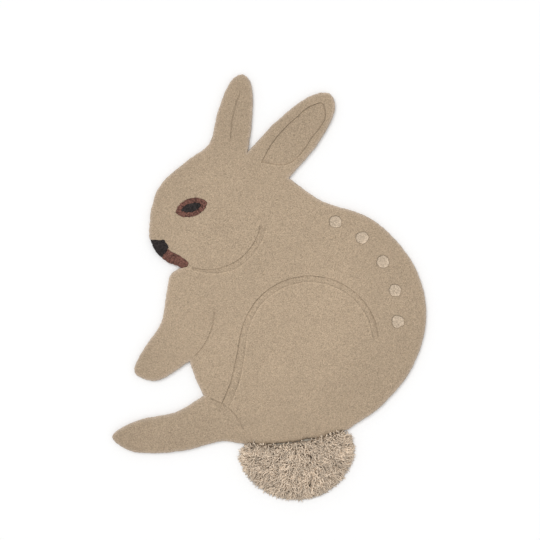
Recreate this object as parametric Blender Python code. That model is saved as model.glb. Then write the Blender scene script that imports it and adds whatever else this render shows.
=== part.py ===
"""Tufted wool floor rug in the shape of a sitting rabbit: metres, face up (+Z), ears towards +Y.

One backing carries all the yarn. The short cut pile of the body is one solid with its carved lines. The
brown and black inlays of the eye, nose and mouth, the five pale spots and the shag tail are yarn of
their own, tufted in beside it.
"""

import math

import bmesh
import bpy
import numpy as np

BACKING = 0.003  # woven backing with its glue layer, under all the pile
PILE_TOP = 0.013  # height of the cut pile above the floor
RIM_ROUND = 0.004  # how far the shears round the pile's outer edge
JOIN_GAP = 0.0004  # between neighbouring yarns
CURVE_STEP = 0.014  # longest straight stretch of an outline

CARVE_WIDTH, CARVE_DEPTH = 0.012, 0.003  # channel that the shears cut along a drawn line
THIN_WIDTH, THIN_DEPTH = 0.006, 0.002  # the same on the far ear and the legs
EAR_PANEL_DEPTH = 0.002

SPOT_RADIUS = 0.0155
SPOT_SUNK = 0.0005  # the spots' pile is clipped this far below the body's
SPOT_ROUND = 0.0015

TAIL_OVERHANG = 0.015  # how far the long yarn spreads past the backing, down to the floor
TAIL_RINGS = (
    # share of the tail's outline, height
    (1.00, 0.000),
    (1.00, 0.010),
    (0.98, 0.019),
    (0.94, 0.025),
    (0.87, 0.029),
    (0.72, 0.032),
    (0.45, 0.0335),
)

CUTTER_REACH = 0.05  # how far a cutter runs past what it cuts

WOOL = (0.463, 0.356, 0.251)
PALE_WOOL = (0.540, 0.430, 0.315)
TAIL_WOOL = (0.470, 0.370, 0.275)
BROWN_WOOL = (0.155, 0.074, 0.056)
BLACK_WOOL = (0.022, 0.019, 0.018)

# The rabbit's outline, clockwise: a "smooth" row is passed in a curve, and a "corner" row is a notch or tip.
OUTLINE = (
    ("muzzle", -0.308, 0.150, "smooth"),
    ("brow", -0.286, 0.254, "smooth"),
    ("crown", -0.212, 0.326, "smooth"),
    ("far ear root", -0.154, 0.370, "smooth"),
    ("far ear front", -0.132, 0.452, "smooth"),
    ("far ear tip front", -0.098, 0.532, "smooth"),
    ("far ear tip", -0.068, 0.549, "smooth"),
    ("far ear tip back", -0.046, 0.522, "smooth"),
    ("far ear back", -0.044, 0.436, "smooth"),
    ("ears notch", -0.056, 0.348, "corner"),
    ("near ear front", 0.020, 0.428, "smooth"),
    ("near ear tip front", 0.104, 0.492, "smooth"),
    ("near ear tip", 0.156, 0.500, "smooth"),
    ("near ear tip side", 0.170, 0.462, "smooth"),
    ("near ear back", 0.130, 0.378, "smooth"),
    ("neck notch", 0.050, 0.282, "corner"),
    ("shoulder", 0.132, 0.225, "smooth"),
    ("back", 0.270, 0.172, "smooth"),
    ("rump top", 0.374, 0.056, "smooth"),
    ("rump", 0.405, -0.070, "smooth"),
    ("seat", 0.372, -0.200, "smooth"),
    ("under seat", 0.292, -0.302, "smooth"),
    ("tail notch right", 0.206, -0.364, "corner"),
    ("tail seam right", 0.134, -0.386, "smooth"),
    ("tail seam left", 0.026, -0.404, "smooth"),
    ("tail notch left", -0.070, -0.402, "corner"),
    ("heel", -0.122, -0.396, "smooth"),
    ("sole", -0.220, -0.420, "smooth"),
    ("toes under", -0.345, -0.424, "smooth"),
    ("toes", -0.404, -0.386, "smooth"),
    ("toes top", -0.345, -0.346, "smooth"),
    ("instep", -0.240, -0.322, "smooth"),
    ("ankle notch", -0.168, -0.280, "corner"),
    ("belly", -0.190, -0.232, "smooth"),
    ("paw notch", -0.204, -0.190, "corner"),
    ("paw under", -0.290, -0.240, "smooth"),
    ("paw", -0.346, -0.220, "smooth"),
    ("paw top", -0.328, -0.168, "smooth"),
    ("paw root", -0.278, -0.092, "smooth"),
    ("chest", -0.264, -0.016, "smooth"),
    ("chest top", -0.252, 0.034, "smooth"),
    ("chin notch", -0.226, 0.052, "corner"),
    ("lip", -0.264, 0.068, "smooth"),
    ("nose tip", -0.297, 0.102, "smooth"),
)

# The shag tail's free edge, from the right notch round to the left one.
TAIL_EDGE = (
    ("right root", 0.210, -0.374, "corner"),
    ("right", 0.222, -0.420, "smooth"),
    ("right side", 0.194, -0.490, "smooth"),
    ("right foot", 0.138, -0.534, "smooth"),
    ("bottom", 0.070, -0.549, "smooth"),
    ("left foot", 0.002, -0.534, "smooth"),
    ("left side", -0.054, -0.490, "smooth"),
    ("left", -0.078, -0.438, "smooth"),
    ("left root", -0.071, -0.408, "corner"),
)

# Carved lines. Each is a list of passing points, and the channel runs smoothly through them.
HAUNCH_CENTRE, HAUNCH_RADIUS = (0.105, -0.150), 0.180
HAUNCH_TURN = (5, 165)  # degrees, anticlockwise from +X
HAUNCH_FRONT = ((-0.082, -0.170), (-0.098, -0.240), (-0.122, -0.300))
CHEEK_CENTRE, CHEEK_RADIUS = (-0.160, 0.186), 0.140
CHEEK_TURN = (-104, -8)
FOOT_LINE = ((-0.152, -0.285), (-0.120, -0.300), (-0.082, -0.334), (-0.062, -0.372))
FAR_EAR_LINE = ((-0.100, 0.370), (-0.096, 0.420), (-0.086, 0.470), (-0.072, 0.510))
LEG_LINE = ((-0.188, -0.174), (-0.168, -0.150), (-0.146, -0.100), (-0.140, -0.050))

# The hollow of the near ear, clipped lower than the rim round it.
EAR_PANEL = (
    ("root", -0.020, 0.322, "corner"),
    ("front low", 0.006, 0.370, "smooth"),
    ("front", 0.072, 0.440, "smooth"),
    ("tip front", 0.112, 0.470, "smooth"),
    ("tip", 0.138, 0.474, "smooth"),
    ("tip back", 0.146, 0.450, "smooth"),
    ("back", 0.110, 0.384, "smooth"),
    ("root back", 0.048, 0.318, "smooth"),
)

EYE_CENTRE = (-0.200, 0.206)
EYE_TILT = 18  # degrees above +X
EYE_LENGTH, EYE_WIDTH = 0.084, 0.046
PUPIL_LENGTH, PUPIL_WIDTH = 0.052, 0.021
EYE_STEPS, EYE_SHARPNESS = 28, 0.25

# The nose and mouth are cut to the rug's outline, so these run on past it.
NOSE = (
    ("bridge", -0.338, 0.124, "corner"),
    ("back top", -0.27, 0.122, "corner"),
    ("back", -0.26, 0.102, "smooth"),
    ("lip", -0.276, 0.078, "corner"),
    ("under", -0.294, 0.044, "corner"),
    ("front", -0.358, 0.054, "corner"),
)
MOUTH = (
    ("nose end", -0.288, 0.118, "corner"),
    ("top", -0.258, 0.096, "smooth"),
    ("corner top", -0.224, 0.078, "smooth"),
    ("corner", -0.208, 0.065, "smooth"),
    ("corner under", -0.211, 0.055, "corner"),
    ("chin notch", -0.225, 0.0505, "corner"),
    ("under", -0.262, 0.057, "corner"),
    ("front", -0.313, 0.069, "corner"),
)

# The spots lie in one row that follows the curve of the back.
SPOT_CENTRE = (0.075, -0.070)
SPOT_ROWS = (
    # radius of the row, degrees of its spots above +X
    (0.258, (68, 50, 32, 14, -4)),
)


def clear_scene():
    for old in list(bpy.data.objects):
        bpy.data.objects.remove(old)


def yarn(name, colour):
    """A rough yarn of one colour."""
    material = bpy.data.materials.new(name)
    material.use_nodes = True
    shader = material.node_tree.nodes["Principled BSDF"]
    shader.inputs["Base Color"].default_value = (*colour, 1)
    shader.inputs["Roughness"].default_value = 0.95
    shader.inputs["Metallic"].default_value = 0
    return material


def smooth_path(rows, closed):
    """Points along the curve through the rows. Each stretch is a cubic whose end slopes follow the rows on
    both sides, except at a corner, where it heads straight for the next row."""
    places = np.array([row[1:3] for row in rows])
    count = len(rows)
    path = []
    for i in range(count if closed else count - 1):
        j = (i + 1) % count
        start, end = places[i], places[j]
        chord = np.linalg.norm(end - start)
        slopes = []
        for k in (i, j):
            free_end = not closed and k in (0, count - 1)
            if rows[k][3] == "corner" or free_end:
                slopes.append(end - start)
                continue
            before, after = places[k - 1], places[(k + 1) % count]
            around = np.linalg.norm(after - places[k]) + np.linalg.norm(places[k] - before)
            slopes.append((after - before) * chord / around)
        steps = max(3, math.ceil(chord / CURVE_STEP))
        t = np.linspace(0, 1, steps, endpoint=False)[:, None]
        path.append(
            (2 * t**3 - 3 * t**2 + 1) * start
            + (t**3 - 2 * t**2 + t) * slopes[0]
            + (3 * t**2 - 2 * t**3) * end
            + (t**3 - t**2) * slopes[1]
        )
    if not closed:
        path.append(places[-1:])
    return np.concatenate(path)


def named(points, kind="smooth"):
    """Rows for smooth_path from bare points."""
    return [("", x, y, kind) for x, y in points]


def arc(centre, radius, turn, step=15):
    """Points on a circle from the first angle of turn to the second, in degrees."""
    angles = np.radians(np.linspace(*turn, 1 + math.ceil(abs(turn[1] - turn[0]) / step)))
    return [(centre[0] + radius * math.cos(a), centre[1] + radius * math.sin(a)) for a in angles]


def grown(points, by):
    """A closed outline moved outwards by a distance, whichever way round it runs."""
    ahead = np.roll(points, -1, axis=0) - points
    ahead /= np.linalg.norm(ahead, axis=1)[:, None]
    behind = np.roll(ahead, 1, axis=0)
    x, y = points.T
    clockwise = (x * np.roll(y, -1) - y * np.roll(x, -1)).sum() < 0
    out = np.stack([ahead[:, 1] + behind[:, 1], -ahead[:, 0] - behind[:, 0]], axis=1)
    out /= 1 + (ahead * behind).sum(axis=1)[:, None]
    return points + out * (-by if clockwise else by)


def almond(centre, length, width, tilt):
    """An oval drawn out to its two ends, turned by tilt degrees: x = cos a, y = sin a |sin a|^sharpness."""
    around = np.linspace(0, 2 * math.pi, EYE_STEPS, endpoint=False)
    x = length / 2 * np.cos(around)
    y = width / 2 * np.sin(around) * np.abs(np.sin(around)) ** EYE_SHARPNESS
    c, s = math.cos(math.radians(tilt)), math.sin(math.radians(tilt))
    return np.stack([centre[0] + c * x - s * y, centre[1] + s * x + c * y], axis=1)


def mesh_of(curve_object, name, collection):
    """The curve object as a mesh object whose caps are welded to its sides."""
    collection.objects.link(curve_object)
    bpy.context.view_layer.update()
    graph = bpy.context.evaluated_depsgraph_get()
    mesh = bpy.data.meshes.new_from_object(curve_object.evaluated_get(graph))
    mesh.transform(curve_object.matrix_world)
    made = bpy.data.objects.new(name, mesh)
    collection.objects.link(made)
    bpy.data.objects.remove(curve_object)
    bm = bmesh.new()
    bm.from_mesh(mesh)
    bmesh.ops.remove_doubles(bm, verts=bm.verts, dist=1e-6)
    bmesh.ops.dissolve_limit(bm, angle_limit=1e-4, verts=bm.verts, edges=bm.edges)
    bm.to_mesh(mesh)
    bm.free()
    return made


def slab(name, points, low, high, collection):
    """A closed outline filled and raised from one height to another."""
    curve = bpy.data.curves.new(name, "CURVE")
    curve.dimensions = "2D"
    curve.fill_mode = "BOTH"
    curve.extrude = (high - low) / 2
    spline = curve.splines.new("POLY")
    spline.points.add(len(points) - 1)
    for point, (x, y) in zip(spline.points, points):
        point.co = (x, y, 0, 1)
    spline.use_cyclic_u = True
    outline = bpy.data.objects.new(name + "_outline", curve)
    outline.location.z = (low + high) / 2
    return mesh_of(outline, name, collection)


def top_rim(bm):
    """The edges round a slab's upper face."""
    high = max(v.co.z for v in bm.verts)
    return [
        e
        for e in bm.edges
        if all(v.co.z > high - 1e-6 for v in e.verts) and min(abs(f.normal.z) for f in e.link_faces) < 0.5
    ]


def round_rim(obj, width, segments):
    """Rounds the edge of a slab's upper face."""
    bm = bmesh.new()
    bm.from_mesh(obj.data)
    bm.normal_update()
    bmesh.ops.bevel(
        bm, geom=top_rim(bm), offset=width, segments=segments, profile=0.5, affect="EDGES", clamp_overlap=True
    )
    bm.to_mesh(obj.data)
    bm.free()


def heap(name, points, rings, collection):
    """A mound over an outline: each ring is the outline drawn in towards its middle, at its own height."""
    centre = points.mean(axis=0)
    corners = [
        (*(centre + (point - centre) * share), height) for share, height in rings for point in points
    ]
    count, last = len(points), len(points) * (len(rings) - 1)
    faces = [
        (k + i, k + (i + 1) % count, k + count + (i + 1) % count, k + count + i)
        for k in range(0, last, count)
        for i in range(count)
    ]
    faces += [tuple(range(count))[::-1], tuple(range(last, last + count))]
    mesh = bpy.data.meshes.new(name)
    mesh.from_pydata(corners, [], faces)
    bm = bmesh.new()
    bm.from_mesh(mesh)
    bmesh.ops.recalc_face_normals(bm, faces=bm.faces)
    bm.to_mesh(mesh)
    bm.free()
    made = bpy.data.objects.new(name, mesh)
    collection.objects.link(made)
    return made


def channel(name, points, width, depth, collection):
    """A round cutter along a drawn line, which leaves a channel of that size in the pile's face."""
    path = smooth_path(named(points), closed=False)
    radius = (width**2 / 4 + depth**2) / (2 * depth)
    curve = bpy.data.curves.new(name, "CURVE")
    curve.dimensions = "3D"
    curve.bevel_depth = radius
    curve.bevel_resolution = 4
    curve.use_fill_caps = True
    spline = curve.splines.new("POLY")
    spline.points.add(len(path) - 1)
    for point, (x, y) in zip(spline.points, path):
        point.co = (x, y, 0, 1)
    line = bpy.data.objects.new(name + "_line", curve)
    line.location.z = PILE_TOP + radius - depth
    return mesh_of(line, name, collection)


def boolean(obj, other, operation="DIFFERENCE"):
    modifier = obj.modifiers.new(f"{operation.lower()} {other.name}", "BOOLEAN")
    modifier.operation = operation
    modifier.solver = "EXACT"
    modifier.object = other


def make_cutter(obj):
    obj.hide_render = True
    obj.display_type = "WIRE"
    return obj


def tail_seam(outline_rows):
    """The points where the body's pile meets the tail's, from the right notch to the left one."""
    names = [row[0] for row in outline_rows]
    first, last = names.index("tail notch right"), names.index("tail notch left")
    return smooth_path(outline_rows[first : last + 1], closed=False)


def body_block(parts):
    """The rabbit with all its pile."""
    block = slab("body", smooth_path(OUTLINE, closed=True), 0, PILE_TOP, parts)
    round_rim(block, RIM_ROUND, 2)
    return block


def tail_backing(cutters, gap=0.0):
    """The backing under the tail, grown by a gap all round. Its inner end lies within the rabbit."""
    edge = smooth_path(TAIL_EDGE, closed=False)
    centre = edge.mean(axis=0)
    share = 1 - TAIL_OVERHANG / np.linalg.norm(edge - centre, axis=1)[:, None]
    inner = centre + (edge - centre) * share
    inside = [inner[-1] + (0.01, 0.05), inner[0] + (-0.03, 0.05)]
    points = grown(np.concatenate([inner, inside]), gap)
    name = "tail_room" if gap else "tail_backing"
    return make_cutter(slab(name, points, -gap, BACKING + gap, cutters))


def shag_tail(parts, cutters):
    """The long-piled tail. It sits on the backing, and its outer yarn falls over the edge to the floor."""
    edge = smooth_path(TAIL_EDGE, closed=False)
    seam = tail_seam(OUTLINE)[::-1] - (0, JOIN_GAP)
    tail = heap("tail", np.concatenate([edge, seam[1:-1]]), TAIL_RINGS, parts)
    boolean(tail, tail_backing(cutters, JOIN_GAP))
    return tail


def inlay(name, points, limit, parts, cutters):
    """A yarn inlay of that outline within the rabbit's own, and the cutter of the pocket that holds it."""
    high = PILE_TOP + CUTTER_REACH
    piece = slab(name, points, BACKING + JOIN_GAP, high, parts)
    boolean(piece, limit, "INTERSECT")
    return piece, make_cutter(slab(name + "_pocket", grown(points, JOIN_GAP), BACKING, high, cutters))


def spot_places():
    for radius, turns in SPOT_ROWS:
        for turn in turns:
            angle = math.radians(turn)
            yield SPOT_CENTRE[0] + radius * math.cos(angle), SPOT_CENTRE[1] + radius * math.sin(angle)


def cylinder(name, radius, place, low, high, collection):
    bpy.ops.mesh.primitive_cylinder_add(
        vertices=28, radius=radius, depth=high - low, location=(*place, (low + high) / 2)
    )
    made = bpy.context.object
    made.name = name
    for holder in made.users_collection:
        holder.objects.unlink(made)
    collection.objects.link(made)
    return made


def spots(parts, cutters):
    """Round patches of paler pile, clipped a little lower, and the cutters of their pockets."""
    pockets = []
    for number, place in enumerate(spot_places(), 1):
        low, high = BACKING + JOIN_GAP, PILE_TOP - SPOT_SUNK
        spot = cylinder(f"spot_{number}", SPOT_RADIUS, place, low, high, parts)
        round_rim(spot, SPOT_ROUND, 2)
        spot.data.materials.append(bpy.data.materials["pale_wool"])
        radius = SPOT_RADIUS + JOIN_GAP
        pocket = cylinder(f"spot_{number}_pocket", radius, place, BACKING, PILE_TOP + CUTTER_REACH, cutters)
        pockets.append(make_cutter(pocket))
    return pockets


def carvings(cutters):
    """The cutters of all carved lines and of the ear's hollow."""
    haunch = arc(HAUNCH_CENTRE, HAUNCH_RADIUS, HAUNCH_TURN) + list(HAUNCH_FRONT)
    cheek = arc(CHEEK_CENTRE, CHEEK_RADIUS, CHEEK_TURN)
    made = [
        channel("haunch_line", haunch, CARVE_WIDTH, CARVE_DEPTH, cutters),
        channel("cheek_line", cheek, CARVE_WIDTH, CARVE_DEPTH, cutters),
        channel("foot_line", FOOT_LINE, CARVE_WIDTH, CARVE_DEPTH, cutters),
        channel("far_ear_line", FAR_EAR_LINE, THIN_WIDTH, THIN_DEPTH, cutters),
        channel("shin_line", LEG_LINE, THIN_WIDTH, THIN_DEPTH, cutters),
    ]
    panel = smooth_path(EAR_PANEL, closed=True)
    made.append(slab("ear_panel", panel, PILE_TOP - EAR_PANEL_DEPTH, PILE_TOP + CUTTER_REACH, cutters))
    return [make_cutter(cutter) for cutter in made]


def main():
    clear_scene()
    parts = bpy.data.collections.new("rabbit_rug")
    cutters = bpy.data.collections.new("cutters")
    bpy.context.scene.collection.children.link(parts)
    bpy.context.scene.collection.children.link(cutters)
    colours = {
        "wool": WOOL,
        "pale_wool": PALE_WOOL,
        "tail_wool": TAIL_WOOL,
        "brown_wool": BROWN_WOOL,
        "black_wool": BLACK_WOOL,
    }
    for name, colour in colours.items():
        yarn(name, colour)

    body = body_block(parts)
    limit = make_cutter(bpy.data.objects.new("pile_limit", body.data.copy()))
    cutters.objects.link(limit)
    eye_outline = almond(EYE_CENTRE, EYE_LENGTH, EYE_WIDTH, EYE_TILT)
    pupil_outline = almond(EYE_CENTRE, PUPIL_LENGTH, PUPIL_WIDTH, EYE_TILT)
    eye_rim, eye_pocket = inlay("eye_rim", eye_outline, limit, parts, cutters)
    pupil, pupil_pocket = inlay("pupil", pupil_outline, limit, parts, cutters)
    nose, nose_pocket = inlay("nose", smooth_path(NOSE, closed=True), limit, parts, cutters)
    mouth, mouth_pocket = inlay("mouth", smooth_path(MOUTH, closed=True), limit, parts, cutters)
    boolean(eye_rim, pupil_pocket)
    boolean(mouth, nose_pocket)

    boolean(body, tail_backing(cutters), "UNION")
    pockets = [eye_pocket, nose_pocket, mouth_pocket, *spots(parts, cutters)]
    for cutter in [*carvings(cutters), *pockets]:
        boolean(body, cutter)

    body.data.materials.append(bpy.data.materials["wool"])
    shag_tail(parts, cutters).data.materials.append(bpy.data.materials["tail_wool"])
    for piece in (eye_rim, mouth):
        piece.data.materials.append(bpy.data.materials["brown_wool"])
    for piece in (pupil, nose):
        piece.data.materials.append(bpy.data.materials["black_wool"])


main()
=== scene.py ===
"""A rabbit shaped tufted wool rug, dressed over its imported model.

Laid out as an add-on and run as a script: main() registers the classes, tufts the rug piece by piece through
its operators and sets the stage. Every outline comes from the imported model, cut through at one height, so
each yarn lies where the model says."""

import math
from functools import lru_cache

import bpy
import numpy as np
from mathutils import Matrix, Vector
from mathutils.geometry import delaunay_2d_cdt


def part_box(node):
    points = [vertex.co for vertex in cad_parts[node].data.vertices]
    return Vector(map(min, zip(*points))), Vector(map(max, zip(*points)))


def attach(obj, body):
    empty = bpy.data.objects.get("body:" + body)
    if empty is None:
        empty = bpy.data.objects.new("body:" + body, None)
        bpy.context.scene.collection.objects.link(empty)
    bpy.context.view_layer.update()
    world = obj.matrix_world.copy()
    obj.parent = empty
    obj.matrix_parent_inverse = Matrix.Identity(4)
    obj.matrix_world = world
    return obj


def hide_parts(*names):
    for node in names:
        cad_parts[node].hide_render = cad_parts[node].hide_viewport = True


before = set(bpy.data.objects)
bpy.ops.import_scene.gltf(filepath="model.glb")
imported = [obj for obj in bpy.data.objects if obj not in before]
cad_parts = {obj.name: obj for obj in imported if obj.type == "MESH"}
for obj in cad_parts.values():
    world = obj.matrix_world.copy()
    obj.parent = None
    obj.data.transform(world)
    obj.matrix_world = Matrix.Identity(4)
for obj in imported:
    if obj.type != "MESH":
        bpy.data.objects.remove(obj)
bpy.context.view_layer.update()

bl_info = {
    "name": "Rabbit Rug",
    "version": (1, 0, 0),
    "blender": (4, 5, 0),
    "location": "View3D > Sidebar > Rug",
    "description": "Tufts a rabbit shaped wool rug with carved lines, inlaid yarns and a shag tail",
    "category": "Add Mesh",
}

SPOTS = tuple(sorted(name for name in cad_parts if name.startswith("spot_")))
PILE_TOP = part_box("body")[1].z
PAD = 0.0024  # top of the canvas backing, where every yarn comes out
FACE_CENTRE = (-0.24, 0.14)  # middle of the eye, nose and mouth
COAT_CENTRE = (-0.03, 0.0)  # where the coat looks lightest; its painted shade grows outwards from here
TAIL_CENTRE = (0.075, -0.405)  # where the tail's yarns lean away from
VIEW_WIDTH, VIEW_CENTRE = 1.39104, (0.0026, 0.0451)  # metres of floor that the camera takes in
CORNER = 50.0  # degrees of turn that an outline keeps as a corner

# the shears' lines: arcs turn from the first angle to the second, in degrees above +X
HAUNCH = dict(centre=(0.105, -0.150), radius=0.180, turn=(5, 165))
HAUNCH_FRONT = ((-0.082, -0.170), (-0.098, -0.240), (-0.122, -0.300))
CHEEK = dict(centre=(-0.160, 0.186), radius=0.140, turn=(-8, -104))
FOOT_LINE = ((-0.152, -0.285), (-0.120, -0.300), (-0.082, -0.334), (-0.062, -0.372))
FAR_EAR_LINE = ((-0.100, 0.370), (-0.096, 0.420), (-0.086, 0.470), (-0.072, 0.510))
LEG_LINE = ((-0.188, -0.174), (-0.168, -0.150), (-0.146, -0.100), (-0.140, -0.050))
EAR_PANEL = (
    (-0.020, 0.322),
    (0.006, 0.370),
    (0.072, 0.440),
    (0.112, 0.470),
    (0.138, 0.474),
    (0.146, 0.450),
    (0.110, 0.384),
    (0.048, 0.318),
)

# offsets in millimetres of the mesh's rows beside an edge, inwards or to the left
CRISP_ROWS = (-2.2, -1.2, -0.5, 0.1, 0.8, 2.0)
SOFT_ROWS = (-3.0, -2.2, -1.5, -0.7, 0.2, 1.4)
THIN_ROWS = (-2.6, -1.5, -0.8, 0.0, 0.8, 1.5, 2.6)
PANEL_ROWS = (-1.6, -0.7, -0.1, 0.5, 1.2, 2.2)
RIM_ROWS = (0.6, 1.4, 2.4, 3.8, 5.4)
POCKET_ROWS = (-2.6, -1.5, -0.8, -0.3, 0.25, 1.6)


# ---------------------------------------------------------------- curves and distances


def ease(x, low, high):
    """Zero below low, one above high, and the cubic 3t^2 - 2t^3 between."""
    t = np.clip((x - low) / (high - low), 0.0, 1.0)
    return t * t * (3.0 - 2.0 * t)


def drift(points, size, seed):
    """Soft random values from -1 to 1: random numbers on a square lattice, eased across each square."""
    cells = int(2.6 / size) + 4
    table = np.random.default_rng(seed).uniform(-1.0, 1.0, (cells, cells))
    at = (np.asarray(points) + 1.25) / size
    low = np.floor(at).astype(int)
    x, y = ease(at - low, 0.0, 1.0).T
    i, j = low.T
    near = table[i, j] * (1 - x) + table[i + 1, j] * x
    far = table[i, j + 1] * (1 - x) + table[i + 1, j + 1] * x
    return near * (1 - y) + far * y


def ruffle(points, amount=0.0006):
    """Points moved a little by two soft random fields, as hand-set tufts stray from a drawn line, twice as
    far within the face's fine yarns. The move depends on the place alone, so two yarns that meet keep
    meeting."""
    points = np.asarray(points)
    face = 1 + 0.9 * ease(np.linalg.norm(points - FACE_CENTRE, axis=1), 0.12, 0.10)
    fine = np.stack([drift(points, 0.0046, 11), drift(points, 0.0046, 12)], axis=1)
    broad = np.stack([drift(points, 0.021, 13), drift(points, 0.021, 14)], axis=1)
    return points + amount * (face[:, None] * fine + broad)


def section(name, height):
    """The closed outlines in which a node of the model meets a level plane, the longest first, each
    turning left round its material. Every triangle across the plane gives one stretch, from the edge that
    rises through it to the edge that falls. Pointer jumping puts the stretches in order: each one looks
    1, 2, 4 ... stretches ahead until all know their loop and their distance along it."""
    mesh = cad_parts[name].data
    mesh.calc_loop_triangles()
    points = np.empty(len(mesh.vertices) * 3)
    mesh.vertices.foreach_get("co", points)
    faces = np.empty(len(mesh.loop_triangles) * 3, np.int32)
    mesh.loop_triangles.foreach_get("vertices", faces)
    corners = points.reshape(-1, 3)[faces.reshape(-1, 3)]
    above = corners[:, :, 2] > height
    crossed = above.any(axis=1) & ~above.all(axis=1)
    corners, above = corners[crossed], above[crossed]
    ahead, ahead_above = np.roll(corners, -1, axis=1), np.roll(above, -1, axis=1)
    rows = np.arange(len(corners))
    rising = (~above & ahead_above).argmax(axis=1)
    falling = (above & ~ahead_above).argmax(axis=1)
    starts = crossing(corners[rows, rising], ahead[rows, rising], height)
    ends = crossing(ahead[rows, falling], corners[rows, falling], height)
    _, known = np.unique(np.concatenate([starts, ends]), axis=0, return_inverse=True)
    start, end = known.reshape(2, -1)
    order = np.argsort(start)
    follower = order[np.searchsorted(start[order], end)]
    if not np.array_equal(start[follower], end):
        raise RuntimeError(f"the cut through {name} isn't closed")
    first, hop = rows.copy(), follower.copy()
    for _ in range(len(rows).bit_length()):
        first, hop = np.minimum(first, first[hop]), hop[hop]
    to_go = (rows != first).astype(int)
    hop = np.where(to_go, follower, rows)
    for _ in range(len(rows).bit_length()):
        to_go, hop = to_go + to_go[hop], hop[hop]
    loops = []
    for head in np.unique(first):
        members = np.flatnonzero(first == head)
        loops.append(starts[members[np.argsort(to_go[members])]])
    return sorted(loops, key=len, reverse=True)


def crossing(low, high, height):
    """Where the straight lines from low to high points pass a height, seen from above."""
    share = (height - low[:, 2]) / (high[:, 2] - low[:, 2])
    return low[:, :2] + (high - low)[:, :2] * share[:, None]


def fair(rows, step, closed=True, corner=CORNER):
    """A smooth curve through the rows with points evenly spaced. Each stretch is a Hermite cubic whose end
    slopes lie between the chords on both sides, or along the chord at a corner, which is kept as a point."""
    rows = np.asarray(rows, float)
    if closed:
        rows = rows[np.linalg.norm(rows - np.roll(rows, 1, axis=0), axis=1) > 2e-4]
        before, after = rows - np.roll(rows, 1, axis=0), np.roll(rows, -1, axis=0) - rows
    else:
        chords = np.diff(rows, axis=0)
        before, after = np.vstack([chords[:1], chords]), np.vstack([chords, chords[-1:]])
    back, on = np.linalg.norm(before, axis=1, keepdims=True), np.linalg.norm(after, axis=1, keepdims=True)
    middle = before / back * on + after / on * back
    middle /= np.maximum(np.linalg.norm(middle, axis=1, keepdims=True), 1e-9)
    turn = np.degrees(np.arccos(np.clip((before * after).sum(1) / (back * on)[:, 0], -1, 1)))
    sharp = turn > corner
    leave = np.where(sharp[:, None], after / on, middle)
    arrive = np.where(sharp[:, None], before / back, middle)
    here = np.arange(len(rows) if closed else len(rows) - 1)
    there = (here + 1) % len(rows)
    t = np.linspace(0, 1, 24, endpoint=False)[None, :, None]
    dense = (
        (2 * t**3 - 3 * t**2 + 1) * rows[here, None]
        + (t**3 - 2 * t**2 + t) * (leave * on)[here, None]
        + (3 * t**2 - 2 * t**3) * rows[there, None]
        + (t**3 - t**2) * (arrive[there] * on[here])[:, None]
    ).reshape(-1, 2)
    dense = np.vstack([dense, dense[:1] if closed else rows[-1:]])
    along = np.concatenate([[0.0], np.cumsum(np.linalg.norm(np.diff(dense, axis=0), axis=1))])
    kept = along[24 * np.flatnonzero(sharp[: len(here)])]
    breaks = np.unique(np.concatenate([[0.0], kept, along[-1:]]))
    spans = [
        np.linspace(a, b, max(1, round((b - a) / step)), endpoint=False)
        for a, b in zip(breaks[:-1], breaks[1:])
    ]
    places = np.concatenate(spans + ([] if closed else [along[-1:]]))
    return np.stack([np.interp(places, along, dense[:, 0]), np.interp(places, along, dense[:, 1])], axis=1)


def arc(centre, radius, turn):
    """Points on a circle from the first angle of turn to the second, in degrees."""
    angles = np.radians(np.linspace(turn[0], turn[1], 10))
    return np.stack([centre[0] + radius * np.cos(angles), centre[1] + radius * np.sin(angles)], axis=1)


def signed_area(loop):
    """A closed outline's area, below zero if it turns right: half the sum of each x times the next y, less
    each y times the next x."""
    x, y = loop.T
    return 0.5 * float((x * np.roll(y, -1) - y * np.roll(x, -1)).sum())


def outward(loop):
    """Unit vectors square to a closed outline, to its right."""
    along = np.roll(loop, -1, axis=0) - np.roll(loop, 1, axis=0)
    along /= np.linalg.norm(along, axis=1, keepdims=True)
    return np.stack([along[:, 1], -along[:, 0]], axis=1)


def beside(line, by, closed):
    """A line moved square to itself, to its left."""
    if closed:
        return line - by * outward(line)
    along = np.gradient(line, axis=0)
    along /= np.linalg.norm(along, axis=1, keepdims=True)
    return line + by * np.stack([-along[:, 1], along[:, 0]], axis=1)


def nearest(points, line, closed=True, reach=0.03):
    """For every point: its distance to a line, the side it is on (1 on the left, -1 on the right) and how
    far along the line its foot lies. The foot is the point's share along each straight stretch, held
    between 0 and 1. Points further off than reach may be given a distance of one metre."""
    start = line if closed else line[:-1]
    run = (np.roll(line, -1, axis=0) if closed else line[1:]) - start
    size = np.linalg.norm(run, axis=1)
    travelled = np.cumsum(size) - size
    low, high = np.minimum(start, start + run) - reach, np.maximum(start, start + run) + reach
    gap, side, along = np.ones(len(points)), np.ones(len(points)), np.zeros(len(points))
    order = np.lexsort((points[:, 0], np.floor(points[:, 1] / 0.03)))
    for part in np.array_split(order, 1 + len(order) // 2000):
        block = points[part]
        close = ((low < block.max(axis=0)) & (high > block.min(axis=0))).all(axis=1)
        if not close.any():
            continue
        reachable, steps = run[close], size[close]
        offset = block[:, None] - start[close]
        share = np.clip((offset * reachable).sum(2) / steps**2, 0, 1)
        apart = np.linalg.norm(offset - share[..., None] * reachable, axis=2)
        best = apart.argmin(axis=1)
        rows = np.arange(len(block))
        turn = reachable[best, 0] * offset[rows, best, 1] - reachable[best, 1] * offset[rows, best, 0]
        gap[part] = apart[rows, best]
        side[part] = np.where(turn >= 0, 1.0, -1.0)
        along[part] = travelled[close][best] + share[rows, best] * steps[best]
    return gap, side, along


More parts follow.
